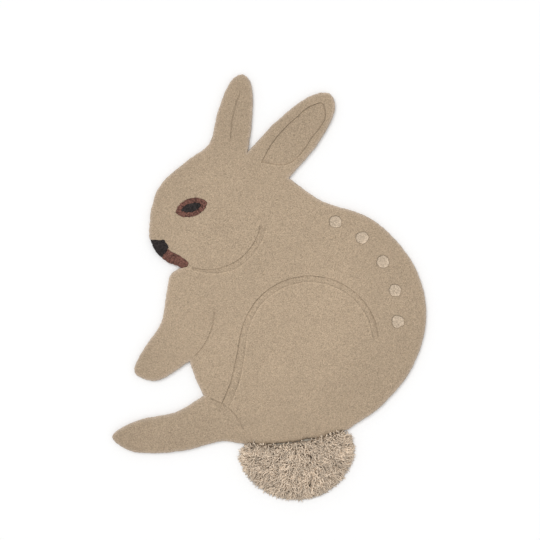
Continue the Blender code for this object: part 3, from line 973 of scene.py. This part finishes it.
def tuft_inlay(rug, name, colour, slot, pocket=None):
    """One yarn inlaid in the coat, grown to close the model's gap round it."""
    ring = grown(outline(name), 0.0002)
    rows = rows_beside(ring, (0.5, 1.2, 2.2))
    if pocket is not None:
        rows += rows_beside(pocket, (-1.4, -0.7, -0.3, 0.25))
    material = wool(f"{colour}_wool", tuple(getattr(rug.rug_colours, colour)), 2.6, 0.35, 270.0)
    shape = rug.rug_shape
    piece = pile(
        f"{name}_pile",
        ring,
        lambda p: inlay_height(p, shape, ring, pocket),
        0.0017,
        rows,
        PAD,
        material,
        200 + len(name),
        0.0001 if name in ("eye_rim", "pupil") else 0.0005,
    )
    return adopt(piece, slot, name)


def spot_height(points, shape, ring):
    """A spot's surface: a shallow bowl, one minus the square of the distance from the middle, with a
    rounded edge, clipped just under the coat."""
    gap = nearest(points, ring)[0]
    bowl = ease(gap, -0.002, 0.0085)
    edge = shoulder(gap, 0.0011)
    return PILE_TOP - 0.0002 - shape.spot_bowl * bowl - edge + lumps(points, 1.3)


def tuft_spot(rug, name):
    """One round spot."""
    ring = outline(name)
    material = wool("spot_wool", tuple(rug.rug_colours.spots), 1.1, 0.6, 400.0, True)
    shape = rug.rug_shape
    rows = rows_beside(ring, (0.5, 1.1, 2.0))
    piece = pile(
        f"{name}_pile",
        ring,
        lambda p: spot_height(p, shape, ring),
        0.0017,
        rows,
        PAD,
        material,
        300 + int(name[-1]),
        0.0001,
        lambda p: spot_attributes(p, ring),
    )
    return adopt(piece, "pale_wool", name)


def lay_backing(rug):
    """The canvas under all the pile: the whole outline drawn in a little, a flat slab with softened edges."""
    ring = grown(outline("canvas"), -0.0012)
    faces = triangles(ring)
    count = len(ring)
    levels = ((0.0004, 0.0), (0.0, 0.0004), (0.0, PAD - 0.0003), (0.0003, PAD))
    rings = [np.column_stack([grown(ring, -inset), np.full(count, z)]) for inset, z in levels]
    walls = [wall(k * count, (k + 1) * count, count) for k in range(3)]
    material = finish_material(
        "backing_canvas",
        canvas_weave(),
        lambda made: {"Colour": (*rug.rug_colours.canvas, 1)},
        (0.5, 0.0006),
        0.1,
        (0.8, 0.78, 0.7),
    )
    flat = np.vstack([faces[:, ::-1], faces + 3 * count])
    piece = mesh_of("backing", np.vstack(rings), [flat, np.vstack(walls)], material)
    return adopt(piece, "wool", "body")


def mound_height(rim, seam, top=0.0125):
    """The ground that the tail's yarns grow from: a low heap that rises by a quarter round from its free
    rim, from its distances to that rim and to the body, and stays lower beside the body."""
    share = 1 - np.clip((rim - 0.011) / 0.045, 0, 1)
    heap = (top - PAD) * np.sqrt(np.maximum(1 - share**2, 0))
    return PAD + 0.0012 + heap * (0.85 + 0.15 * ease(seam, 0.0, 0.025))


def tail_roots(rug):
    """Where the tail's yarns are rooted: a jittered six-sided grid inside the tail, clear of the rim's
    overhang and of the body's edge."""
    loop = outline("tail")
    grid = jittered_grid(loop, rug.rug_tail.spacing, 0.4, 41)
    grid = grid[inside(grid, loop)]
    rim, seam = tail_distances(grid)
    keep = (rim > 0.75 * rug.rug_tail.reach) & (seam > 0.0006)
    return grid[keep], rim[keep], seam[keep]


def tail_distances(points):
    """Distances to the tail's free rim and to the body's edge."""
    return nearest(points, free_rim(), False, 0.4)[0], nearest(points, tail_seam(), False, 0.4)[0]


@lru_cache(maxsize=None)
def free_rim():
    """The part of the tail's outline away from the body."""
    loop = outline("tail")
    free = nearest(loop, tail_seam(), False, 0.2)[0] > 0.008
    start = np.flatnonzero(~free)[-1]
    loop, free = np.roll(loop, -start, axis=0), np.roll(free, -start)
    return loop[free]


def tail_paths(rug, roots, rim, seam):
    """The yarns' centre lines, seven points each. A yarn leans out from the tail's middle by an angle that
    grows to the rim, its heading turned by a soft random field and a random share of its own; it sags with
    the square of its run, waves sideways by a sine that grows to its tip and never sinks into the floor.
    Anything above 28 mm is pressed down to half as far above it. About a third of those beside the body
    arch over its edge by half a sine and lie on it."""
    tail = rug.rug_tail
    count = len(roots)
    rng = np.random.default_rng(43)
    t = np.linspace(0, 1, 7)[None, :]
    away = roots - TAIL_CENTRE
    heading = np.arctan2(away[:, 1] * 1.35, away[:, 0])
    deep = ease(rim, 0.012, 0.050)
    close = (1 - ease(seam, 0.004, 0.030)) * ease(rim, 0.014, 0.036)
    wander = 1.3 * drift(roots, 0.027, 44) + 0.6 * drift(roots, 0.011, 45)
    heading += (0.25 + 0.75 * deep) * wander + rng.normal(0, 0.17 + 0.30 * deep)
    seam_back = np.arctan2(-1.0, 0.5 * away[:, 0] / 0.1)
    heading = heading * (1 - close) + (seam_back + rng.normal(0, 0.7, count)) * close
    lean = np.radians(80 - 32 * deep + rng.normal(0, 11, count) - 22 * close)
    length = tail.length * (1 + rng.normal(0, 0.13, count)) * (0.80 + 0.20 * deep) * (1 - 0.30 * close)
    reach = length * np.sin(lean)
    most = tail.reach * (1.06 + rng.normal(0, 0.10, count)) + np.maximum(rim - tail.reach, 0) * 1.02
    reach = np.minimum(reach, np.maximum(most, 0.006))
    rise = length * np.cos(lean)
    base = mound_height(rim, seam) - 0.001
    run = reach[:, None] * (0.55 * t + 0.45 * t**2)
    lift = rise[:, None] * (1.5 * t - 0.5 * t**2) + 0.006 * (1 - deep[:, None]) * (t - t**2) * 4
    sag = (0.004 + 0.010 * (1 - deep))[:, None] * t**2
    wave = 0.0016 * rng.uniform(0.2, 1.5, count)[:, None] * (0.3 + 0.7 * t)
    phase = rng.uniform(0, 2 * np.pi, count)[:, None]
    sway = wave * np.sin(2 * np.pi * rng.uniform(0.5, 1.1, count)[:, None] * t + phase)
    sway -= sway[:, :1]
    bend = rng.normal(0, 0.5, count)[:, None] * t
    cos, sin = np.cos(heading[:, None] + bend), np.sin(heading[:, None] + bend)
    x = roots[:, :1] + run * cos - sway * sin
    y = roots[:, 1:] + run * sin + sway * cos
    z = np.maximum(base[:, None] + lift - sag + 0.5 * sway, tail.radius * 1.05)
    over = (seam < 0.0060) & (rng.random(count) < 0.35)
    fan = rng.normal(0.5 * np.pi, 0.75, count)[:, None] + 0.6 * bend
    far = rng.uniform(0.004, 0.0105, count)[:, None] * t
    x = np.where(over[:, None], roots[:, :1] + far * np.cos(fan), x)
    y = np.where(over[:, None], roots[:, 1:] + far * np.sin(fan), y)
    z = np.where(z > 0.028, 0.028 + 0.5 * (z - 0.028), z)
    arch = PILE_TOP + 0.0006 + 0.0036 * np.sin(np.pi * t) - 0.006 * (1 - t) ** 6
    z = np.where(over[:, None], arch, z)
    return np.stack([x, y, z], axis=2), rng


def tubes(paths, radii, sides=5):
    """Round yarns carried along their centre lines: a ring square to each point's heading, in a frame made
    from the yarn's own sideways direction, closed by a face at each end. Gives points, faces and UVs."""
    count, steps, _ = paths.shape
    along = np.gradient(paths, axis=1)
    along /= np.linalg.norm(along, axis=2, keepdims=True) + 1e-12
    across = np.cross(along, (0.0, 0.0, 1.0))
    thin = np.linalg.norm(across, axis=2, keepdims=True)
    across = np.where(thin > 0.05, across / np.maximum(thin, 1e-9), (1.0, 0.0, 0.0))
    up = np.cross(across, along)
    angle = np.linspace(0, 2 * np.pi, sides, endpoint=False)
    ring = np.cos(angle)[:, None] * across[:, :, None] + np.sin(angle)[:, None] * up[:, :, None]
    points = paths[:, :, None] + radii[:, :, None, None] * ring
    first = (np.arange(count) * steps * sides)[:, None, None]
    row = (np.arange(steps - 1) * sides)[None, :, None]
    here, there = np.arange(sides), np.roll(np.arange(sides), -1)
    quads = [first + row + here, first + row + there, first + row + sides + there, first + row + sides + here]
    quads = np.stack(quads, axis=3).reshape(-1, 4)
    root = (first[:, 0] + here)[:, ::-1]
    tip = first[:, 0] + (steps - 1) * sides + here
    run = np.cumsum(np.linalg.norm(np.diff(paths, axis=1, prepend=paths[:, :1]), axis=2), axis=1)
    uv = np.stack(np.broadcast_arrays(angle / (2 * np.pi), run[:, :, None]), axis=3)
    return points.reshape(-1, 3), quads, np.vstack([root, tip]), uv.reshape(-1, 2)


def tuft_tail(rug):
    """The shag tail: a heap whose dark colour is painted shade deep in the shag, and its yarns in two pieces,
    inner and rim.
    """
    colours = rug.rug_colours
    loop = outline("tail")
    inset = 0.0008 + 0.0125 * ease(nearest(loop, tail_seam(), False, 0.4)[0], 0.0, 0.016)
    ring = loop - inset[:, None] * outward(loop)
    ring = ring[nearest(ring, loop)[0] > 0.9 * inset]
    spoke = ring - ring.mean(axis=0)
    ring = ring[np.argsort(np.arctan2(spoke[:, 1], spoke[:, 0]))]
    heap_ring = fair(ring[::4], 0.004, corner=180.0)
    # the heap's colour, a little lighter than the root colour, is painted shade deep in the shag
    material = wool("tail_ground", tuple(1.45 * c for c in colours.tail_root_shade), 1.6, 0.3, 240.0)
    heap = pile(
        "tail_ground",
        heap_ring,
        lambda p: mound_height(*tail_distances(p)),
        0.005,
        [],
        PAD,
        material,
        61,
    )
    pieces = [adopt(heap, "shag_wool", "tail")]
    roots, rim, near_seam = tail_roots(rug)
    paths, rng = tail_paths(rug, roots, rim, near_seam)
    thick = rug.rug_tail.radius * rng.uniform(0.72, 1.18, len(paths))[:, None]
    radii = thick * np.array([0.9, 1.0, 1.0, 1.0, 0.95, 0.82, 0.30])[None, :]
    shade = 0.93 + 0.16 * rng.normal(0, 1, len(paths)) + 0.09 * drift(roots, 0.022, 46)
    yarn = finish_material(
        "tail_yarn",
        yarn_twist(),
        lambda made: {
            "UV": made.add("UVMap", uv_map="yarn").outputs["UV"],
            "Run": made.add("Attribute", attribute_name="run").outputs["Fac"],
            "Shade": made.add("Attribute", attribute_name="shade").outputs["Fac"],
            "Colour": (*colours.tail, 1),
            "Root colour": (*colours.tail_root_shade, 1),
        },
        (0.6, 0.0008),
        0.25,
        (0.95, 0.85, 0.72),
    )
    order = np.argsort(rim)
    half = len(order) // 2
    for name, chosen in (("tail_rim_yarns", order[:half]), ("tail_inner_yarns", order[half:])):
        points, quads, caps, uv = tubes(paths[chosen], radii[chosen])
        # per ring of each yarn, the share from the root's painted shade colour to the yarn's own colour
        run = np.tile(np.repeat(np.array([0.0, 0.26, 0.56, 0.80, 0.93, 1.0, 1.0]), 5), len(chosen))
        per_yarn = np.repeat(shade[chosen], 35)
        piece = mesh_of(name, points, [quads, caps], yarn, (("run", run), ("shade", per_yarn)), uv)
        pieces.append(adopt(piece, "shag_wool", "tail"))
    return pieces


# ---------------------------------------------------------------- operators


def done(self, words):
    """Reports and finishes an operator."""
    self.report({"INFO"}, words)
    return {"FINISHED"}


class RUG_OT_lay_backing(bpy.types.Operator):
    """Lay the woven canvas under the pile"""

    bl_idname = "rug.lay_backing"
    bl_label = "Lay Backing"

    def execute(self, context):
        lay_backing(context.scene)
        return done(self, "backing laid")


class RUG_OT_tuft_face(bpy.types.Operator):
    """Inlay the eye, nose and mouth in brown and black yarn"""

    bl_idname = "rug.tuft_face"
    bl_label = "Tuft Face"

    def execute(self, context):
        rug = context.scene
        tuft_inlay(rug, "eye_rim", "brown", "brown_wool", outline("pupil"))
        tuft_inlay(rug, "pupil", "black", "black_wool")
        tuft_inlay(rug, "mouth", "brown", "brown_wool")
        tuft_inlay(rug, "nose", "black", "black_wool")
        return done(self, "face inlaid")


class RUG_OT_tuft_spots(bpy.types.Operator):
    """Set the pale round spots on the back"""

    bl_idname = "rug.tuft_spots"
    bl_label = "Tuft Spots"

    def execute(self, context):
        for name in SPOTS:
            tuft_spot(context.scene, name)
        return done(self, "spots set")


class RUG_OT_tuft_tail(bpy.types.Operator):
    """Grow the long yarns of the tail"""

    bl_idname = "rug.tuft_tail"
    bl_label = "Tuft Tail"

    def execute(self, context):
        tuft_tail(context.scene)
        return done(self, "tail grown")


class RUG_OT_tuft_body(bpy.types.Operator):
    bl_idname = "rug.tuft_body"
    bl_label = "Tuft Body"

    def execute(self, context):
        piece = tuft_body(context.scene)
        loop = outline("canvas")
        return done(self, "coat tufted")


class RUG_OT_set_stage(bpy.types.Operator):
    """Set the pale floor, the soft lights and the camera straight above"""

    bl_idname = "rug.set_stage"
    bl_label = "Set Stage"

    def execute(self, context):
        scene = context.scene
        scene.view_settings.view_transform = "Standard"
        scene.view_settings.look = "None"
        corners = np.array([(-6, -6, 0), (6, -6, 0), (6, 6, 0), (-6, 6, 0)], float)
        corners[:, 2] = -0.0003
        material = bpy.data.materials.new("floor_paint")
        material.use_nodes = True
        shader = material.node_tree.nodes["Principled BSDF"]
        shader.inputs["Base Color"].default_value = (0.93, 0.93, 0.93, 1)
        shader.inputs["Roughness"].default_value = 0.9
        shader.inputs["Specular IOR Level"].default_value = 0.1
        floor = mesh_of("floor", corners, [np.array([[0, 1, 2, 3]])], material)
        world = bpy.data.worlds.new("studio")
        scene.world = world
        world.use_nodes = True
        world.node_tree.nodes["Background"].inputs["Color"].default_value = (1.0, 1.0, 1.0, 1)
        world.node_tree.nodes["Background"].inputs["Strength"].default_value = 0.70
        for name, place, spread, power in (
            ("key_light", (-0.38, 0.38, 1.0), 36, 1.24),
            ("fill_light", (0.7, -0.5, 1.0), 60, 0.16),
        ):
            light = bpy.data.lights.new(name, "SUN")
            light.angle, light.energy = math.radians(spread), power
            lamp = bpy.data.objects.new(name, light)
            lamp.location = [3 * part for part in place]
            lamp.rotation_euler = (-Vector(place)).to_track_quat("-Z", "Y").to_euler()
            scene.collection.objects.link(lamp)
        camera = bpy.data.cameras.new("camera")
        camera.lens, camera.sensor_width = 100.0, 36.0
        eye = bpy.data.objects.new("camera", camera)
        height = VIEW_WIDTH * camera.lens / camera.sensor_width + PILE_TOP
        eye.location = (*VIEW_CENTRE, height)
        scene.collection.objects.link(eye)
        scene.camera = eye
        return done(self, "stage set")


OPERATORS = (
    RUG_OT_lay_backing,
    RUG_OT_tuft_face,
    RUG_OT_tuft_spots,
    RUG_OT_tuft_tail,
    RUG_OT_tuft_body,
    RUG_OT_set_stage,
)


class RUG_PT_sidebar(bpy.types.Panel):
    """The rug's settings and steps"""

    bl_idname = "RUG_PT_sidebar"
    bl_label = "Rabbit Rug"
    bl_space_type = "VIEW_3D"
    bl_region_type = "UI"
    bl_category = "Rug"

    def draw(self, context):
        scene = context.scene
        for settings in (scene.rug_shape, scene.rug_tail, scene.rug_colours):
            box = self.layout.box()
            for key in settings.bl_rna.properties.keys():
                if key not in ("rna_type", "name"):
                    box.prop(settings, key)
        for operator in OPERATORS:
            self.layout.operator(operator.bl_idname)


GROUPS = (("rug_shape", RugShape), ("rug_tail", RugTail), ("rug_colours", RugColours))


def register():
    """Registers the classes and hangs the settings on the scene."""
    for key, settings in GROUPS:
        bpy.utils.register_class(settings)
        setattr(bpy.types.Scene, key, bpy.props.PointerProperty(type=settings))
    for item in OPERATORS + (RUG_PT_sidebar,):
        bpy.utils.register_class(item)


def unregister():
    """Takes it all back."""
    for item in reversed(OPERATORS + (RUG_PT_sidebar,)):
        bpy.utils.unregister_class(item)
    for key, settings in reversed(GROUPS):
        delattr(bpy.types.Scene, key)
        bpy.utils.unregister_class(settings)


def main():
    """Makes the rug step by step."""
    register()
    bpy.ops.rug.lay_backing()
    bpy.ops.rug.tuft_face()
    bpy.ops.rug.tuft_spots()
    bpy.ops.rug.tuft_tail()
    bpy.ops.rug.tuft_body()
    bpy.ops.rug.set_stage()


if __name__ == "__main__":
    main()
